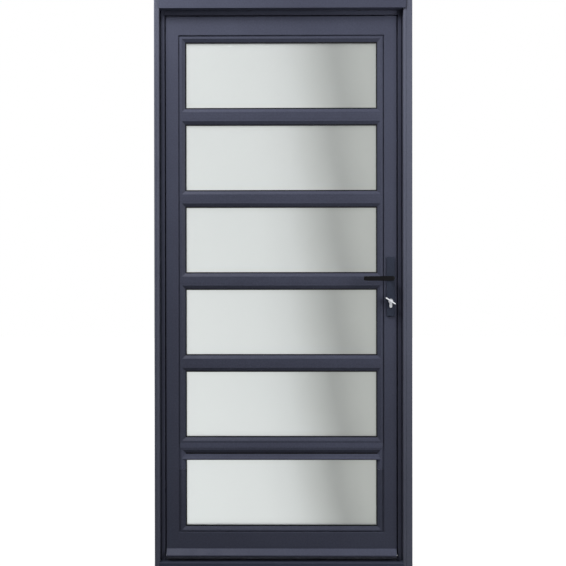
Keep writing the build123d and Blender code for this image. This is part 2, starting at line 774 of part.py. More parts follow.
def pane_cap():
    """Ledge over the lowest pane, in one piece with the short legs beside the glass."""
    low, high = light_span(BAR_COUNT + 1)
    reach = LIGHT_X + GASKET_FACE + BEAD_BEVEL
    body = along_x(outline(cap_moulding()), -reach, reach)
    body -= ring(LIGHT_X, low, high, 0, REBATE, GLASS_Y - GASKET_LIP, GLASS_Y + 1)
    body -= block(-reach - 1, -LIGHT_X, BEAD_BACK, GLASS_Y + 1, low, high + 1)
    body -= block(LIGHT_X, reach + 1, BEAD_BACK, GLASS_Y + 1, low, high + 1)
    keep = block(-LEAF_X, LEAF_X, -1, LEAF_DEPTH, cap_end(), high + REBATE + 1)
    for leg in bead_ring(outer_bead_section(LOW_BEAD_FLAT), low, high, ("left", "right")):
        body += leg & keep
    return body


def drip_bar():
    """Weather bar: sloped front, blunt nose, hollow underneath."""
    top = LEAF_Z + DRIP_TOP
    low = top - DRIP_HEIGHT
    out = -DRIP_PROJECTION
    w = DRIP_WALL
    section = [
        (0, top),
        (-w, top),
        (out, low + DRIP_NOSE),
        (out, low),
        (out + w, low),
        (out + w, low + DRIP_NOSE - w / 2),
        (-w, top - 2 * w),
        (-w, low + DRIP_NOSE),
        (0, low + DRIP_NOSE),
    ]
    reach = LEAF_X - DRIP_END_INSET
    return along_x(outline(section, [(2, DRIP_ROUND)]), -reach, reach)


def bottom_seal():
    reach = LEAF_X - LEAF_GAP
    y0 = SWEEP_SETBACK
    low = THRESHOLD_HEIGHT + SWEEP_CLEARANCE
    body = block(-reach, reach, y0, y0 + SWEEP_THICKNESS, low + LEAF_GAP, LEAF_Z)
    third = SWEEP_THICKNESS / 3
    return body + block(-reach, reach, y0 + third, y0 + 2 * third, low, low + LEAF_GAP)


def cylinder_face(clearance):
    """Round head over a narrow stem with a round foot."""
    radius = CYLINDER_RADIUS + clearance
    half = CYLINDER_STEM / 2 + clearance
    foot = CYLINDER_Z + CYLINDER_RADIUS - CYLINDER_HEIGHT + CYLINDER_STEM / 2
    face = Pos(LOCK_X, CYLINDER_Z) * Circle(radius)
    face += Pos(LOCK_X, (CYLINDER_Z + foot) / 2) * Rectangle(2 * half, CYLINDER_Z - foot)
    return face + Pos(LOCK_X, foot) * Circle(half)


def plate_screw_levels():
    return [
        HANDLE_HEIGHT + PLATE_ABOVE - PLATE_SCREW_INSET,
        HANDLE_HEIGHT - PLATE_BELOW + PLATE_SCREW_INSET,
    ]


def lock_plate_span():
    return (
        HANDLE_HEIGHT - CASE_BELOW - LOCK_PLATE_OVERRUN,
        HANDLE_HEIGHT + CASE_ABOVE + LOCK_PLATE_OVERRUN,
    )


def lock_plate_blank(x1):
    z0, z1 = lock_plate_span()
    half = LOCK_PLATE_WIDTH / 2
    return block(LAP_X - LOCK_PLATE_THICKNESS, x1, LOCK_Y - half, LOCK_Y + half, z0, z1)


def latch_passage(x0, x1):
    half = LATCH_HEIGHT / 2 + SLIDE_CLEARANCE
    side = LATCH_WIDTH / 2 + SLIDE_CLEARANCE
    return block(x0, x1, LOCK_Y - side, LOCK_Y + side, LATCH_Z - half, LATCH_Z + half)


def bolt_passage(x0, x1):
    half = BOLT_HEIGHT / 2 + SLIDE_CLEARANCE
    side = BOLT_WIDTH / 2 + SLIDE_CLEARANCE
    return block(x0, x1, LOCK_Y - side, LOCK_Y + side, BOLT_Z - half, BOLT_Z + half)


def lock_case():
    x0 = LOCK_X - CASE_BEHIND
    x1 = LAP_X - LOCK_PLATE_THICKNESS
    half = CASE_THICKNESS / 2
    body = block(x0, x1, LOCK_Y - half, LOCK_Y + half, HANDLE_HEIGHT - CASE_BELOW, HANDLE_HEIGHT + CASE_ABOVE)
    back = LAP_X - LATCH_TAIL - LATCH_THROW - SLIDE_CLEARANCE
    body -= latch_passage(back, x1 + 1)
    back = LAP_X - BOLT_TAIL - SLIDE_CLEARANCE
    body -= bolt_passage(back, x1 + 1)
    y0, y1 = LOCK_Y - half - 1, LOCK_Y + half + 1
    body -= rod_y(SPINDLE_SIDE * SPINDLE_ROOM_SHARE + SLIDE_CLEARANCE, y0, y1, LOCK_X, HANDLE_HEIGHT)
    body -= along_y(cylinder_face(CYLINDER_CLEARANCE), y0, y1)
    for z in plate_screw_levels():
        body -= rod_y(THROUGH_SCREW_RADIUS, y0, y1, LOCK_X, z)
    for screw in faceplate_screws():
        body -= screw
    return body


def lock_faceplate():
    body = lock_plate_blank(LAP_X)
    x0, x1 = LAP_X - LOCK_PLATE_THICKNESS - 1, LAP_X + 1
    body -= latch_passage(x0, x1)
    body -= bolt_passage(x0, x1)
    for screw in faceplate_screws():
        body -= screw
    return body


def faceplate_screws():
    z0, z1 = lock_plate_span()
    inset = LOCK_PLATE_OVERRUN + SCREW_HEAD_RADIUS
    return [countersunk_x(LAP_X, LOCK_Y, z, -1) for z in (z0 + inset, z1 - inset)]


def latch_bolt():
    """Sprung latch with its slope on the side that meets the keep first."""
    x0 = LAP_X - LATCH_TAIL
    x1 = LAP_X + LATCH_THROW
    half = LATCH_WIDTH / 2
    section = [
        (x0, LOCK_Y - half),
        (LAP_X + 1, LOCK_Y - half),
        (x1, LOCK_Y + half - LATCH_NOSE),
        (x1, LOCK_Y + half),
        (x0, LOCK_Y + half),
    ]
    return along_z(outline(section), LATCH_Z - LATCH_HEIGHT / 2, LATCH_Z + LATCH_HEIGHT / 2)


def deadbolt():
    half = BOLT_WIDTH / 2
    x0 = LAP_X - BOLT_TAIL
    return block(x0, LAP_X, LOCK_Y - half, LOCK_Y + half, BOLT_Z - BOLT_HEIGHT / 2, BOLT_Z + BOLT_HEIGHT / 2)


def cylinder_span():
    proud = PLATE_THICKNESS + CYLINDER_PROUD
    return -proud, LEAF_DEPTH + proud


def cylinder_body():
    y0, y1 = cylinder_span()
    body = along_y(cylinder_face(0), y0, y1)
    body -= rod_y(PLUG_RADIUS + RUNNING_CLEARANCE, y0 - 1, y0 + PLUG_LENGTH, LOCK_X, CYLINDER_Z)
    body -= rod_y(PLUG_RADIUS + RUNNING_CLEARANCE, y1 - PLUG_LENGTH, y1 + 1, LOCK_X, CYLINDER_Z)
    return body


def keyway(y0, y1, angle, clearance):
    half = KEY_BLADE / 2 + clearance
    wide = KEY_THICKNESS / 2 + clearance
    slot = Box(2 * half, y1 - y0, 2 * wide)
    return Pos(LOCK_X, (y0 + y1) / 2, CYLINDER_Z) * Rot(0, angle, 0) * slot


def cylinder_plug():
    y0, _ = cylinder_span()
    body = rod_y(PLUG_RADIUS, y0, y0 + PLUG_LENGTH, LOCK_X, CYLINDER_Z)
    return body - keyway(y0 - 1, y0 + KEY_BLADE_LENGTH + KEY_CLEARANCE, KEY_ANGLE, KEY_CLEARANCE)


def inner_plug():
    _, y1 = cylinder_span()
    body = rod_y(PLUG_RADIUS, y1 - PLUG_LENGTH, y1, LOCK_X, CYLINDER_Z)
    return body - keyway(y1 - KEY_BLADE_LENGTH, y1 + 1, 90, KEY_CLEARANCE)


def key_blade(y0):
    """Flat blade with cuts along one edge and a bevelled tip."""
    half = KEY_BLADE / 2
    tip = y0 + KEY_BLADE_LENGTH
    points = [(-half, tip - half), (-half, y0 - KEY_SHOULDER), (half, y0 - KEY_SHOULDER)]
    step = KEY_CUT_PITCH / 2
    for number, depth in enumerate(KEY_CUTS):
        y = y0 + KEY_CUT_PITCH * number + step
        points += [(half, y - step), (half - depth, y), (half, y + step)]
    points += [(half, tip - half), (0, tip)]
    return extrude(Plane.XY.offset(-KEY_THICKNESS / 2) * outline(points), KEY_THICKNESS)


def key_bow(y0):
    """Thicker rounded grip with a hole for a ring."""
    near = y0 - KEY_SHOULDER
    far = near - KEY_BOW_DEPTH
    x0 = -KEY_BOW_WIDTH / 2 - KEY_BOW_OFFSET
    x1 = KEY_BOW_WIDTH / 2 - KEY_BOW_OFFSET
    corners = [(x0, far), (x1, far), (x1, near), (x0, near)]
    face = outline(corners, [(i, KEY_BOW_DEPTH * KEY_BOW_ROUND_SHARE) for i in range(4)])
    hole = Pos(-KEY_BOW_OFFSET, far + KEY_HOLE_RADIUS + KEY_RING_INSET) * Circle(KEY_HOLE_RADIUS)
    return extrude(Plane.XY.offset(-KEY_BOW_THICKNESS / 2) * (face - hole), KEY_BOW_THICKNESS)


def key():
    """Cut key whose flat bow stands edge-on to the door."""
    y0, _ = cylinder_span()
    return Pos(LOCK_X, 0, CYLINDER_Z) * Rot(0, KEY_ANGLE, 0) * (key_blade(y0) + key_bow(y0))


def backplate(y_face, direction):
    """Plate from the leaf's face outwards; direction is -1 outdoors and 1 indoors."""
    z0 = HANDLE_HEIGHT - PLATE_BELOW
    z1 = HANDLE_HEIGHT + PLATE_ABOVE
    half = PLATE_WIDTH / 2
    x0, x1 = LOCK_X - half, LOCK_X + half
    corners = [(x0, z0), (x1, z0), (x1, z1), (x0, z1)]
    face = outline(corners, [(i, PLATE_CORNER) for i in range(4)])
    outer = y_face + direction * PLATE_THICKNESS
    y0, y1 = sorted([y_face, outer])
    body = along_y(face, y0, y1)
    rim = [e for e in body.edges() if abs(e.center().Y - outer) < SAME]
    body = chamfer(rim, PLATE_BEVEL)
    p0, p1 = sorted([y_face - direction, outer - direction * PLATE_SKIN])
    pocket = block(x0 + PLATE_SKIN, x1 - PLATE_SKIN, p0, p1, z0 + PLATE_SKIN, z1 - PLATE_SKIN)
    bosses = [rod_y(2 * THROUGH_SCREW_RADIUS, p0, p1, LOCK_X, z) for z in plate_screw_levels()]
    bosses.append(rod_y(NECK_RADIUS + NECK_BOSS, p0, p1, LOCK_X, HANDLE_HEIGHT))
    for boss in bosses:
        pocket -= boss
    body -= pocket
    ends = (y0 - 1, y1 + 1)
    body -= rod_y(NECK_RADIUS + RUNNING_CLEARANCE, *ends, LOCK_X, HANDLE_HEIGHT)
    return body - along_y(cylinder_face(CYLINDER_CLEARANCE), *ends)


def outer_backplate():
    body = backplate(0, -1)
    for screw in backplate_screws():
        body -= screw
    return body


def inner_backplate():
    body = backplate(LEAF_DEPTH, 1)
    for screw in backplate_screws():
        body -= screw
    return body


def backplate_screws():
    """Screws from indoors that pull both plates together; none shows outdoors."""
    y1 = LEAF_DEPTH + PLATE_THICKNESS
    out = []
    for z in plate_screw_levels():
        head = rod_y(THROUGH_HEAD_RADIUS, y1 - THROUGH_HEAD, y1, LOCK_X, z)
        shank = rod_y(THROUGH_SCREW_RADIUS, PLATE_SKIN - PLATE_THICKNESS, y1 - THROUGH_HEAD, LOCK_X, z)
        out.append(head + shank)
    return out


def lever(y_plate, direction):
    """Round neck and a flat bar that tapers towards its tip."""
    tail = y_plate - direction * (PLATE_THICKNESS - RUNNING_CLEARANCE)
    bar0 = y_plate + direction * LEVER_STANDOFF
    bar1 = bar0 + direction * LEVER_THICKNESS
    y0, y1 = sorted([bar0, bar1])
    half = LEVER_HEIGHT / 2
    tip = half - LEVER_TAPER
    x0, x1 = LOCK_X - LEVER_REACH, LOCK_X + LEVER_HEEL
    z = HANDLE_HEIGHT
    corners = [(x0, z - tip), (x1, z - half), (x1, z + half), (x0, z + tip)]
    tip_round = tip * LEVER_TIP_ROUND_SHARE
    heel_round = half * LEVER_HEEL_ROUND_SHARE
    rounds = [(0, tip_round), (1, heel_round), (2, heel_round), (3, tip_round)]
    bar = along_y(outline(corners, rounds), y0, y1)
    front = [e for e in bar.edges() if abs(e.center().Y - bar1) < SAME]
    bar = fillet(front, LEVER_THICKNESS * LEVER_EDGE_ROUND_SHARE)
    neck_ends = sorted([tail, bar0 + direction])
    body = bar + rod_y(NECK_RADIUS, *neck_ends, LOCK_X, z)
    side = SPINDLE_SIDE / 2 + SPINDLE_CLEARANCE
    s0, s1 = sorted([tail - direction, y_plate + direction * (SPINDLE_BURIED + SPINDLE_CLEARANCE)])
    return body - block(LOCK_X - side, LOCK_X + side, s0, s1, z - side, z + side)


def outer_lever():
    return lever(-PLATE_THICKNESS, -1)


def inner_lever():
    return lever(LEAF_DEPTH + PLATE_THICKNESS, 1)


def lever_spindle():
    half = SPINDLE_SIDE / 2
    y0 = -PLATE_THICKNESS - SPINDLE_BURIED
    y1 = LEAF_DEPTH + PLATE_THICKNESS + SPINDLE_BURIED
    x, z = LOCK_X, HANDLE_HEIGHT
    return block(x - half, x + half, y0, y1, z - half, z + half)


def hinge_frame_plate(level):
    """Plate on the jamb with an upper and a lower knuckle."""
    half = HINGE_HEIGHT / 2
    middle = HINGE_MIDDLE / 2 + HINGE_PLAY
    y0, y1 = LEAF_DEPTH, LEAF_DEPTH + HINGE_PLATE
    edge = HINGE_X - HINGE_RADIUS - FLAP_CLEARANCE / 2 + HINGE_OVERLAP
    body = block(edge - FRAME_FLAP_WIDTH, edge, y0, y1, level - half, level + half)
    for z0, z1 in [(level - half, level - middle), (level + middle, level + half)]:
        body += block(edge - HINGE_OVERLAP, HINGE_X, y0, y1, z0, z1)
        body += rod_z(HINGE_RADIUS, z0, z1, HINGE_X, HINGE_Y)
    return body - rod_z(HINGE_PIN_RADIUS, level - half - 1, level + half + 1, HINGE_X, HINGE_Y)


def hinge_leaf_plate(level):
    """Plate on the stile with one knuckle between the frame's two."""
    half = HINGE_HEIGHT / 2
    middle = HINGE_MIDDLE / 2
    y0, y1 = LEAF_DEPTH, LEAF_DEPTH + HINGE_PLATE
    edge = HINGE_X + HINGE_RADIUS + FLAP_CLEARANCE
    body = block(edge, edge + LEAF_FLAP_WIDTH, y0, y1, level - half, level + half)
    body += block(HINGE_X, edge + HINGE_OVERLAP, y0, y1, level - middle, level + middle)
    body += rod_z(HINGE_RADIUS, level - middle, level + middle, HINGE_X, HINGE_Y)
    bore = HINGE_PIN_RADIUS + HINGE_PIN_CLEARANCE
    return body - rod_z(bore, level - middle - 1, level + middle + 1, HINGE_X, HINGE_Y)


def hinge_pin(level):
    half = HINGE_HEIGHT / 2
    body = rod_z(HINGE_PIN_RADIUS, level - half, level + half, HINGE_X, HINGE_Y)
    cap_radius = HINGE_RADIUS - HINGE_CAP_INSET
    body += rod_z(cap_radius, level + half, level + half + HINGE_CAP, HINGE_X, HINGE_Y)
    return body + rod_z(cap_radius, level - half - HINGE_CAP, level - half, HINGE_X, HINGE_Y)


def per_hinge(make):
    return [make(level) for level in HINGE_LEVELS]


def pieces():
    out = {
        "left_jamb": left_jamb(),
        "right_jamb": right_jamb(),
        "head": head(),
        "head_trim": head_trim(),
        "threshold": threshold(),
        "stop_frame": stop_frame(),
        "rebate_gasket": rebate_gasket(),
        "strike_plate": strike_plate(),
        "strike_screws": strike_screws(),
        "hinge_frame_plates": per_hinge(hinge_frame_plate),
        "hinge_pins": per_hinge(hinge_pin),
        "left_stile": left_stile(),
        "right_stile": right_stile(),
        "top_rail": top_rail(),
        "bottom_rail": bottom_rail(),
        "glazing_gaskets": glazing_gaskets(),
        "pane_cap": pane_cap(),
        "drip_bar": drip_bar(),
        "bottom_seal": bottom_seal(),
        "lock_case": lock_case(),
        "lock_faceplate": lock_faceplate(),
        "faceplate_screws": faceplate_screws(),
        "cylinder_body": cylinder_body(),
        "cylinder_plug": cylinder_plug(),
        "inner_plug": inner_plug(),
        "key": key(),
        "outer_backplate": outer_backplate(),
        "inner_backplate": inner_backplate(),
        "backplate_screws": backplate_screws(),
        "hinge_leaf_plates": per_hinge(hinge_leaf_plate),
        "outer_lever": outer_lever(),
        "inner_lever": inner_lever(),
        "lever_spindle": lever_spindle(),
        "latch_bolt": latch_bolt(),
        "deadbolt": deadbolt(),
    }
    for index in range(1, BAR_COUNT + 1):
        out[f"glazing_bar_{index}"] = glazing_bar(bar_level(index))
    for index in range(1, BAR_COUNT + 2):
        out[f"outer_bead_{index}"] = outer_bead(index)
        out[f"inner_bead_{index}"] = inner_bead(index)
        out[f"glass_pane_{index}"] = glass_pane(index)
    return out


def solids_of(shape):
    if isinstance(shape, list):
        return [solid for item in shape for solid in item.solids()]
    return shape.solids()


os.makedirs("parts", exist_ok=True)
for name, shape in pieces().items():
    solids = solids_of(shape)
    whole = solids[0] if len(solids) == 1 else Compound(children=list(solids))
    export_step(whole, f"parts/{name}.step")
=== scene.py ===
import math

import bmesh
import bpy
from mathutils import Matrix, Vector


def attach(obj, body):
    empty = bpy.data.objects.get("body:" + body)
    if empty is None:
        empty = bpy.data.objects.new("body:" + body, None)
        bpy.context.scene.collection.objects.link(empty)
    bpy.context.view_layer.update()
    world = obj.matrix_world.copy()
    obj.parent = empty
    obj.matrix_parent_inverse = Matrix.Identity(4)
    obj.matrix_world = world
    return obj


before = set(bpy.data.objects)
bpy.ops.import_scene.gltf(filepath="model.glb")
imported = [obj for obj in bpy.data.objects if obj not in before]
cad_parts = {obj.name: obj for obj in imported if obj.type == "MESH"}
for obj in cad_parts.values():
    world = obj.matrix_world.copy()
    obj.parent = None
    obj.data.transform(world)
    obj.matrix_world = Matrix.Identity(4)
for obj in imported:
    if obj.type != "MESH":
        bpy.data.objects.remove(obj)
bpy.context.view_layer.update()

# Camera, in metres and degrees of the part's frame
CAMERA_AT = (0.0409, -4.0203, 1.0849)
CAMERA_YAW = math.radians(-0.492)
CAMERA_PITCH = math.radians(-0.347)
CAMERA_ROLL = math.radians(-0.062)
CAMERA_LENS = 68.30
CAMERA_SENSOR = 36.0
CAMERA_CLIP_START = 0.05

# Rounded arrises of the pieces
EDGE_ANGLE = math.radians(35)
EDGE_SEGMENTS = 3
FINE_EDGE = 0.0005
FINE_EDGED = ("outer_bead", "inner_bead", "glazing_bar")
SOFT_EDGES = {
    "left_jamb": 0.0022,
    "right_jamb": 0.0022,
    "head_trim": 0.0012,
    "threshold": 0.0012,
    "stop_frame": 0.001,
    "left_stile": 0.001,
    "right_stile": 0.001,
    "top_rail": 0.001,
    "bottom_rail": 0.001,
    "pane_cap": 0.0007,
    "drip_bar": 0.0006,
    "outer_backplate": 0.0006,
    "inner_backplate": 0.0006,
    "key": 0.0004,
    "cylinder_body": 0.0004,
}

# Foot corners: the pads close the gap between the sweep's ends and the stops
PAD_FROM_X = 0.4292
PAD_TO_X = 0.436
PAD_FRONT_Y = 0.0205
PAD_BACK_Y = 0.0265
PAD_FOOT_Z = 0.020
PAD_TOP_Z = 0.0325
PAD_RIBS = 3
PAD_RIB_HEIGHT = 0.0008
PAD_EDGE = 0.0003
PAD_EDGE_SEGMENTS = 2

# Hinge screws, which the model leaves to this script
HINGE_LEVELS = (0.26, 1.06, 1.86)
HINGE_SCREW_STEPS = (-0.036, 0.0, 0.036)
FRAME_SCREW_X = -0.4655
LEAF_SCREW_X = -0.4305
HINGE_FACE_Y = 0.068
SCREW_SIDES = 24
# Each ring: radius, height over the plate, and whether it follows the socket's hexagon
SCREW_RINGS = (
    (0.0015, 0.0006, True),
    (0.0016, 0.0012, True),
    (0.0026, 0.0009, False),
    (0.0034, 0.0, False),
)

# Share of its range that a noise fills for the most part
NOISE_BAND = (0.3, 0.7)

# Powder coat: scales of its patterns, and how far they show
COAT_CLOUD_SCALE = 3.1
COAT_SPECK_SCALE = 160.0
COAT_WEAR_SCALE = 22.0
COAT_PEEL_SCALE = 900.0
COAT_PEEL_STRENGTH = 0.16
COAT_PEEL_DEPTH = 0.0004
COAT_GLOSS = 0.07
LEVER_GLOSS = 0.1

# Rubber
RUBBER_PALER = 1.8
RUBBER_CLOUD_SCALE = 40.0
RUBBER_GRAIN_SCALE = 1200.0
RUBBER_GLOSS = 0.12

# Brushed metal
METAL_DARKER = 0.8
METAL_LINE_SCALE = 400.0
METAL_CLOUD_SCALE = 30.0
METAL_STAIN = 0.35

# Satin glass
GLASS_TINTS = ((0.80, 0.84, 0.83), (0.84, 0.87, 0.86))
GLASS_CLOUD_SCALE = 2.2
GLASS_ETCH_SCALE = 700.0
GLASS_ROUGHNESS = (0.40, 0.46)
GLASS_TRANSMISSION = 0.97
GLASS_IOR = 1.45

# Floor: it glows white to the eye, a little less near the door
FLOOR_REACH = 15.0
FLOOR_Z = -0.0005
FLOOR_GREY = 0.18
FLOOR_ROUGHNESS = 0.9
FLOOR_NEAR = 1.2
FLOOR_FAR = 4.0
FLOOR_NEAR_GLOW = 0.88

# Backdrop seen only through the glass, with painted shade and light: its grey zone, a painted
# shade, leans the same way behind each pane, and it is painted lighter low down
CARD_REACH = 1.2
CARD_Y = 0.10
CARD_FOOT_Z = 0.01
CARD_TOP_Z = 2.6
CARD_STEP_Z = 0.4393
CARD_PITCH = 0.3142
CARD_LEAN = 0.065
CARD_TONES_X = 0.5
CARD_SHIFT = 0.015
CARD_LOW_Z = 0.2
CARD_LOW_PAINTED_LIGHT = 1.085
CARD_HIGH_Z = 2.0
CARD_HIGH_PAINTED_LIGHT = 0.90
CARD_PAINTED_SHADE = (
    (0.14, (0.87, 0.87, 0.87)),
    (0.42, (0.80, 0.80, 0.80)),
    (0.53, (0.71, 0.71, 0.71)),
    (0.62, (0.52, 0.52, 0.51)),
    (0.71, (0.33, 0.33, 0.32)),
    (0.82, (0.455, 0.455, 0.435)),
)

# World: its light on the door, and white where it is seen
WORLD_LIGHT = 0.035
SEEN_WHITE = 1.0

# Lamps: name, place, target, width and height, power in watts
LAMPS = (
    ("key light", (-1.0, -1.15, 3.25), (0.0, 0.0, 1.3), (1.2, 1.0), 70.0),
    ("side light", (1.5, -1.3, 1.6), (0.3, 0.0, 1.3), (0.9, 1.2), 23.0),
    ("low light", (0.0, -2.6, 0.25), (0.0, 0.0, 0.1), (2.0, 0.3), 2.5),
    ("room light", (0.4, 2.6, 3.0), (0.0, 0.0, 1.0), (2.6, 2.0), 34.0),
)


def grey(value):
    return (value, value, value)


def new_material(name):
    material = bpy.data.materials.new(name)
    material.use_nodes = True
    tree = material.node_tree
    shader = next(n for n in tree.nodes if n.type == "BSDF_PRINCIPLED")
    return material, tree, shader


def add(tree, kind, **values):
    node = tree.nodes.new(kind)
    for key, value in values.items():
        setattr(node, key, value)
    return node


def feed(tree, socket, value):
    """Link a socket, or write a colour or a number on it."""
    if isinstance(value, bpy.types.NodeSocket):
        tree.links.new(value, socket)
    elif isinstance(value, tuple):
        socket.default_value = (*value, 1.0)
    else:
        socket.default_value = value


def noise(tree, coords, scale, detail):
    node = add(tree, "ShaderNodeTexNoise")
    node.inputs["Scale"].default_value = scale
    node.inputs["Detail"].default_value = detail
    tree.links.new(coords, node.inputs["Vector"])
    return node.outputs["Fac"]


def ramp(tree, source, stops):
    """Stops are pairs of a position and a colour."""
    node = add(tree, "ShaderNodeValToRGB")
    while len(node.color_ramp.elements) < len(stops):
        node.color_ramp.elements.new(0.5)
    for element, (position, colour) in zip(node.color_ramp.elements, stops):
        element.position = position
        element.color = (*colour, 1.0)
    tree.links.new(source, node.inputs["Fac"])
    return node.outputs["Color"]


def span(tree, source, low, high, to_low, to_high, clamp=True):
    node = add(tree, "ShaderNodeMapRange", clamp=clamp)
    node.inputs["From Min"].default_value = low
    node.inputs["From Max"].default_value = high
    node.inputs["To Min"].default_value = to_low
    node.inputs["To Max"].default_value = to_high
    tree.links.new(source, node.inputs["Value"])
    return node.outputs["Result"]


def math_node(tree, operation, *values):
    node = add(tree, "ShaderNodeMath", operation=operation)
    for socket, value in zip(node.inputs, values):
        feed(tree, socket, value)
    return node.outputs[0]


def mix(tree, factor, first, second, blend="MIX"):
    node = add(tree, "ShaderNodeMix", data_type="RGBA", blend_type=blend)
    feed(tree, node.inputs[0], factor)
    feed(tree, node.inputs[6], first)
    feed(tree, node.inputs[7], second)
    return node.outputs[2]


def scaled(tree, coords, x, y, z):
    node = add(tree, "ShaderNodeMapping")
    node.inputs["Scale"].default_value = (x, y, z)
    tree.links.new(coords, node.inputs["Vector"])
    return node.outputs["Vector"]


def bump(tree, shader, height, strength, distance):
    node = add(tree, "ShaderNodeBump")
    node.inputs["Strength"].default_value = strength
    node.inputs["Distance"].default_value = distance
    tree.links.new(height, node.inputs["Height"])
    tree.links.new(node.outputs["Normal"], shader.inputs["Normal"])


def object_coords(tree):
    return add(tree, "ShaderNodeTexCoord").outputs["Object"]


def position(tree):
    return add(tree, "ShaderNodeNewGeometry").outputs["Position"]


def powder_coat(name, dark, light, roughness, gloss=COAT_GLOSS):
    """Satin powder coat: orange-peel bump, fine speckle and a soft cloudy tone."""
    material, tree, shader = new_material(name)
    coords = object_coords(tree)
    cloud = noise(tree, coords, COAT_CLOUD_SCALE, 4.0)
    fine = noise(tree, coords, COAT_SPECK_SCALE, 2.0)
    tone = mix(tree, span(tree, cloud, *NOISE_BAND, 0.0, 1.0), dark, light)
    speck = ramp(tree, fine, [(0.35, grey(0.93)), (0.65, grey(1.06))])
    colour = mix(tree, 1.0, tone, speck, "MULTIPLY")
    tree.links.new(colour, shader.inputs["Base Color"])
    wear = noise(tree, coords, COAT_WEAR_SCALE, 5.0)
    worn = span(tree, wear, *NOISE_BAND, roughness - 0.05, roughness + 0.07)
    tree.links.new(worn, shader.inputs["Roughness"])
    peel = noise(tree, coords, COAT_PEEL_SCALE, 1.5)
    bump(tree, shader, peel, COAT_PEEL_STRENGTH, COAT_PEEL_DEPTH)
    shader.inputs["Specular IOR Level"].default_value = gloss
    return material


def rubber(name, colour):
    """Matt rubber with a soft tone and a fine grain."""
    material, tree, shader = new_material(name)
    coords = object_coords(tree)
    cloud = noise(tree, coords, RUBBER_CLOUD_SCALE, 3.0)
    pale = tuple(c * RUBBER_PALER for c in colour)
    tree.links.new(mix(tree, cloud, colour, pale), shader.inputs["Base Color"])
    tree.links.new(span(tree, cloud, *NOISE_BAND, 0.55, 0.75), shader.inputs["Roughness"])
    bump(tree, shader, noise(tree, coords, RUBBER_GRAIN_SCALE, 1.0), 0.2, 0.0003)
    shader.inputs["Specular IOR Level"].default_value = RUBBER_GLOSS
    return material


def brushed(name, colour, roughness, stretch):
    """Metal with fine marks drawn out along one axis."""
    material, tree, shader = new_material(name)
    coords = object_coords(tree)
    lines = noise(tree, scaled(tree, coords, *stretch), METAL_LINE_SCALE, 3.0)
    cloud = noise(tree, coords, METAL_CLOUD_SCALE, 3.0)
    dark = tuple(c * METAL_DARKER for c in colour)
    tone = mix(tree, span(tree, lines, 0.35, 0.65, 0.0, 1.0), dark, colour)
    stain = span(tree, cloud, 0.4, 0.8, 0.0, METAL_STAIN)
    tree.links.new(mix(tree, stain, tone, dark), shader.inputs["Base Color"])
    rubbed = span(tree, lines, *NOISE_BAND, roughness - 0.06, roughness + 0.08)
    tree.links.new(rubbed, shader.inputs["Roughness"])
    bump(tree, shader, lines, 0.12, 0.0002)
    shader.inputs["Metallic"].default_value = 1.0
    return material


def satin_glass(name):
    """Etched glass: the light that comes through is spread and milky."""
    material, tree, shader = new_material(name)
    coords = object_coords(tree)
    cloud = noise(tree, coords, GLASS_CLOUD_SCALE, 2.0)
    tree.links.new(mix(tree, cloud, *GLASS_TINTS), shader.inputs["Base Color"])
    etch = noise(tree, coords, GLASS_ETCH_SCALE, 3.0)
    etched = span(tree, etch, *NOISE_BAND, *GLASS_ROUGHNESS)
    tree.links.new(etched, shader.inputs["Roughness"])
    bump(tree, shader, etch, 0.06, 0.0002)
    shader.inputs["Transmission Weight"].default_value = GLASS_TRANSMISSION
    shader.inputs["IOR"].default_value = GLASS_IOR
    return material


# The jambs' coat is a lighter copy of the leaf's coat: painted light on the jambs
FRAME_COAT_PAINTED_LIGHT = powder_coat(
    "frame coat, painted light", (0.083, 0.089, 0.122), (0.097, 0.104, 0.142), 0.40
)
LEAF_COAT = powder_coat(
    "leaf powder coat", (0.050, 0.054, 0.081), (0.058, 0.063, 0.094), 0.42
)
HINGE_COAT = powder_coat(
    "hinge powder coat", (0.060, 0.066, 0.080), (0.072, 0.078, 0.094), 0.46
)
# A lighter copy of the leaf's coat for the pane cap, drip bar and fifth glazing bar: painted
# light where they catch the light from above
TRIM_COAT_PAINTED_LIGHT = powder_coat(
    "trim coat, painted light", (0.069, 0.0745, 0.112), (0.080, 0.087, 0.130), 0.42
)
# A darker copy of the frame's coat for the threshold: painted shade at the foot of the door
THRESHOLD_COAT_PAINTED_SHADE = powder_coat(
    "threshold coat, painted shade", (0.040, 0.045, 0.072), (0.048, 0.054, 0.084), 0.5
)
PLATE_COAT = powder_coat(
    "handle plate coat", (0.026, 0.031, 0.048), (0.031, 0.037, 0.057), 0.38
)
LEVER_COAT = powder_coat(
    "lever coat", (0.002, 0.002, 0.003), (0.003, 0.003, 0.004), 0.28, LEVER_GLOSS
)
SATIN_GLASS = satin_glass("satin glass")
SEAL_RUBBER = rubber("seal rubber", (0.005, 0.005, 0.006))
# The sweep's rubber is painted pale: painted light in the shaded cavity under the drip bar
SWEEP_RUBBER_PAINTED_LIGHT = rubber("sweep rubber, painted light", (0.20, 0.21, 0.27))
NICKEL = brushed("satin nickel", (0.52, 0.53, 0.56), 0.34, (0.2, 1.0, 3.0))
KEY_METAL = brushed("key nickel", (0.86, 0.88, 0.92), 0.24, (0.4, 2.0, 1.0))
STEEL = brushed("zinc steel", (0.56, 0.57, 0.58), 0.32, (1.0, 1.0, 0.15))

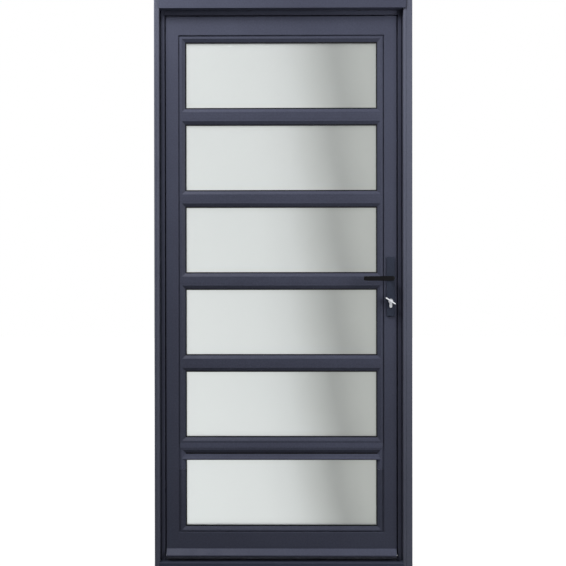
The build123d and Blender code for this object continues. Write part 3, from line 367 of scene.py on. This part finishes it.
# Materials by piece, then by a word in its name; all else has the leaf's coat, which on the head
# and the stop frame, frame pieces in the reveal, is a darker copy of the frame's coat: painted
# shade
PIECE_MATERIALS = {
    "left_jamb": FRAME_COAT_PAINTED_LIGHT,
    "right_jamb": FRAME_COAT_PAINTED_LIGHT,
    "pane_cap": TRIM_COAT_PAINTED_LIGHT,
    "drip_bar": TRIM_COAT_PAINTED_LIGHT,
    "glazing_bar_5": TRIM_COAT_PAINTED_LIGHT,
    "threshold": THRESHOLD_COAT_PAINTED_SHADE,
    "bottom_seal": SWEEP_RUBBER_PAINTED_LIGHT,
    "outer_lever": LEVER_COAT,
    "inner_lever": LEVER_COAT,
    "outer_backplate": PLATE_COAT,
    "inner_backplate": PLATE_COAT,
    "key": KEY_METAL,
    "cylinder_body": NICKEL,
    "cylinder_plug": NICKEL,
    "inner_plug": NICKEL,
    "hinge_frame_plates": HINGE_COAT,
    "hinge_leaf_plates": HINGE_COAT,
    "hinge_pins": HINGE_COAT,
    "strike_plate": STEEL,
    "lock_faceplate": STEEL,
    "latch_bolt": STEEL,
    "deadbolt": STEEL,
    "lock_case": STEEL,
    "lever_spindle": STEEL,
}
WORD_MATERIALS = {"glass_pane": SATIN_GLASS, "gasket": SEAL_RUBBER, "screws": STEEL}


def material_for(node):
    if node in PIECE_MATERIALS:
        return PIECE_MATERIALS[node]
    for word, material in WORD_MATERIALS.items():
        if word in node:
            return material
    # The head and the stop frame get the leaf's darker coat here as painted shade in the reveal
    return LEAF_COAT


def set_material(obj, material):
    if not obj.material_slots:
        obj.data.materials.append(material)
    for slot in obj.material_slots:
        slot.material = material


def soften(obj, width, segments=EDGE_SEGMENTS):
    """Rounded arrises, as on coated extrusions."""
    modifier = obj.modifiers.new("edge", "BEVEL")
    modifier.width = width
    modifier.segments = segments
    modifier.limit_method = "ANGLE"
    modifier.angle_limit = EDGE_ANGLE


for name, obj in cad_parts.items():
    set_material(obj, material_for(name))
    if name.startswith(FINE_EDGED):
        soften(obj, FINE_EDGE)
    elif name in SOFT_EDGES:
        soften(obj, SOFT_EDGES[name])


def place(name, data):
    obj = bpy.data.objects.new(name, data)
    bpy.context.collection.objects.link(obj)
    return obj


def band(mesh, first, second):
    """Four-sided faces between two closed rings of vertices."""
    for k in range(len(first)):
        n = (k + 1) % len(first)
        mesh.faces.new((first[k], first[n], second[n], second[k]))


def placed_mesh(name, mesh, material):
    """The object made from a bmesh, with its faces turned outwards."""
    bmesh.ops.recalc_face_normals(mesh, faces=mesh.faces)
    data = bpy.data.meshes.new(name)
    mesh.to_mesh(data)
    mesh.free()
    data.materials.append(material)
    return place(name, data)


def screw_ring(mesh, x, z, radius, height, hexagonal):
    ring = []
    for k in range(SCREW_SIDES):
        angle = 2.0 * math.pi * k / SCREW_SIDES
        reach = radius
        if hexagonal:
            reach /= math.cos((angle + math.pi / 6) % (math.pi / 3) - math.pi / 6)
        at = (x + reach * math.cos(angle), HINGE_FACE_Y + height, z + reach * math.sin(angle))
        ring.append(mesh.verts.new(at))
    return ring


def screw_heads(name, x, body):
    """Low domed heads with a hexagon socket, one for each screw of a row of hinge plates."""
    mesh = bmesh.new()
    for level in HINGE_LEVELS:
        for step in HINGE_SCREW_STEPS:
            rings = [screw_ring(mesh, x, level + step, *ring) for ring in SCREW_RINGS]
            for inner, outer in zip(rings, rings[1:]):
                band(mesh, inner, outer)
            mesh.faces.new(rings[0])
    obj = placed_mesh(name, mesh, STEEL)
    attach(obj, body)


screw_heads("hinge_screws_frame", FRAME_SCREW_X, "frame")
screw_heads("hinge_screws_leaf", LEAF_SCREW_X, "leaf")


def corner_pad(name, side):
    """Ribbed rubber pad on the threshold, in the corner between the sweep's end and the stop."""
    mesh = bmesh.new()
    pitch = (PAD_BACK_Y - PAD_FRONT_Y) / PAD_RIBS
    root_x = PAD_FROM_X + PAD_RIB_HEIGHT
    section = [(PAD_TO_X, PAD_BACK_Y), (PAD_TO_X, PAD_FRONT_Y)]
    for k in range(PAD_RIBS):
        foot_y = PAD_FRONT_Y + pitch * k
        section += [
            (root_x, foot_y),
            (PAD_FROM_X, foot_y + pitch / 4),
            (PAD_FROM_X, foot_y + 3 * pitch / 4),
        ]
    section.append((root_x, PAD_BACK_Y))
    foot, top = (
        [mesh.verts.new((side * x, y, z)) for x, y in section] for z in (PAD_FOOT_Z, PAD_TOP_Z)
    )
    band(mesh, foot, top)
    mesh.faces.new(foot)
    mesh.faces.new(top)
    # The pads share the sweep's pale rubber, which is painted light
    obj = placed_mesh(name, mesh, SWEEP_RUBBER_PAINTED_LIGHT)
    soften(obj, PAD_EDGE, PAD_EDGE_SEGMENTS)
    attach(obj, "frame")


corner_pad("corner_pad_hinge_side", -1)
corner_pad("corner_pad_lock_side", 1)


def seen_directly(tree):
    """One for camera, glossy and transmission rays."""
    path = add(tree, "ShaderNodeLightPath")
    seen = path.outputs["Is Camera Ray"]
    for other in ("Is Glossy Ray", "Is Transmission Ray"):
        seen = math_node(tree, "MAXIMUM", seen, path.outputs[other])
    return seen


def floor_material(name):
    """Matt grey floor that reads white to the camera and takes the door's soft shadow near it."""
    material, tree, shader = new_material(name)
    shader.inputs["Base Color"].default_value = (*grey(FLOOR_GREY), 1.0)
    shader.inputs["Roughness"].default_value = FLOOR_ROUGHNESS
    away = add(tree, "ShaderNodeVectorMath", operation="LENGTH")
    tree.links.new(position(tree), away.inputs[0])
    distance = away.outputs["Value"]
    glow = span(tree, distance, FLOOR_NEAR, FLOOR_FAR, FLOOR_NEAR_GLOW, SEEN_WHITE)
    shown = math_node(tree, "MULTIPLY", glow, seen_directly(tree))
    tree.links.new(shown, shader.inputs["Emission Strength"])
    return material


def card_material(name):
    """Backdrop for the glass, with painted shade and light: pale at the hinge side, greyer
    at the lock side, painted lighter low down, and a grey zone of painted shade behind each pane
    that leans towards the lock as it goes down."""
    material = bpy.data.materials.new(name)
    material.use_nodes = True
    tree = material.node_tree
    tree.nodes.clear()
    split = add(tree, "ShaderNodeSeparateXYZ")
    tree.links.new(position(tree), split.inputs[0])
    x, z = split.outputs["X"], split.outputs["Z"]
    level = span(tree, z, CARD_STEP_Z, CARD_STEP_Z + CARD_PITCH, 1.0, 0.0, False)
    down = math_node(tree, "FRACT", level)
    lean = math_node(tree, "MULTIPLY", math_node(tree, "MULTIPLY", down, down), CARD_LEAN)
    along = span(tree, x, -CARD_TONES_X, CARD_TONES_X, CARD_SHIFT, 1.0 + CARD_SHIFT)
    # The tone is painted shade: a pale-to-grey band repeated behind each pane
    tone = ramp(tree, math_node(tree, "SUBTRACT", along, lean), CARD_PAINTED_SHADE)
    # Painted light: the backdrop glows brighter low down than high up
    strength = span(
        tree, z, CARD_LOW_Z, CARD_HIGH_Z, CARD_LOW_PAINTED_LIGHT, CARD_HIGH_PAINTED_LIGHT
    )
    emission = add(tree, "ShaderNodeEmission")
    tree.links.new(strength, emission.inputs["Strength"])
    tree.links.new(tone, emission.inputs["Color"])
    output = add(tree, "ShaderNodeOutputMaterial")
    tree.links.new(emission.outputs[0], output.inputs["Surface"])
    return material


def stage_plane(name, corners, material):
    mesh = bpy.data.meshes.new(name)
    mesh.from_pydata(corners, [], [(0, 1, 2, 3)])
    mesh.materials.append(material)
    plane = place(name, mesh)
    return plane


stage_plane(
    "floor",
    [
        (-FLOOR_REACH, -FLOOR_REACH, FLOOR_Z),
        (FLOOR_REACH, -FLOOR_REACH, FLOOR_Z),
        (FLOOR_REACH, FLOOR_REACH, FLOOR_Z),
        (-FLOOR_REACH, FLOOR_REACH, FLOOR_Z),
    ],
    floor_material("pale floor"),
)

# Only the light that comes through the glass sees the backdrop and its painted shade
card = stage_plane(
    "backdrop",
    [
        (-CARD_REACH, CARD_Y, CARD_FOOT_Z),
        (CARD_REACH, CARD_Y, CARD_FOOT_Z),
        (CARD_REACH, CARD_Y, CARD_TOP_Z),
        (-CARD_REACH, CARD_Y, CARD_TOP_Z),
    ],
    card_material("backdrop painted shade"),
)
card.visible_camera = False
card.visible_diffuse = False
card.visible_glossy = False
card.visible_shadow = False

world = bpy.data.worlds.new("studio")
bpy.context.scene.world = world
world.use_nodes = True
tree = world.node_tree
background = next(n for n in tree.nodes if n.type == "BACKGROUND")
strength = span(tree, seen_directly(tree), 0.0, 1.0, WORLD_LIGHT, SEEN_WHITE)
tree.links.new(strength, background.inputs["Strength"])
background.inputs["Color"].default_value = (*grey(1.0), 1.0)


def area_lamp(name, at, target, size, power):
    """Lamp that isn't seen through the glass, where it clipped the upper panes to white."""
    light = bpy.data.lights.new(name, "AREA")
    light.shape = "RECTANGLE"
    light.size, light.size_y = size
    light.energy = power
    obj = place(name, light)
    obj.location = at
    obj.rotation_euler = (Vector(target) - Vector(at)).to_track_quat("-Z", "Y").to_euler()
    obj.visible_transmission = False


for lamp in LAMPS:
    area_lamp(*lamp)

camera_data = bpy.data.cameras.new("camera")
camera_data.sensor_width = CAMERA_SENSOR
camera_data.sensor_fit = "HORIZONTAL"
camera_data.lens = CAMERA_LENS
camera_data.clip_start = CAMERA_CLIP_START
camera = place("camera", camera_data)
forward = Vector((
    math.sin(CAMERA_YAW) * math.cos(CAMERA_PITCH),
    math.cos(CAMERA_YAW) * math.cos(CAMERA_PITCH),
    math.sin(CAMERA_PITCH),
))
side = Vector((math.cos(CAMERA_YAW), -math.sin(CAMERA_YAW), 0.0))
up = side.cross(forward)
turned_side = math.cos(CAMERA_ROLL) * side + math.sin(CAMERA_ROLL) * up
turned_up = math.cos(CAMERA_ROLL) * up - math.sin(CAMERA_ROLL) * side
turn = Matrix((turned_side, turned_up, -forward)).transposed()
camera.rotation_mode = "QUATERNION"
camera.rotation_quaternion = turn.to_quaternion()
camera.location = CAMERA_AT
bpy.context.scene.camera = camera

bpy.context.scene.view_settings.view_transform = "Standard"
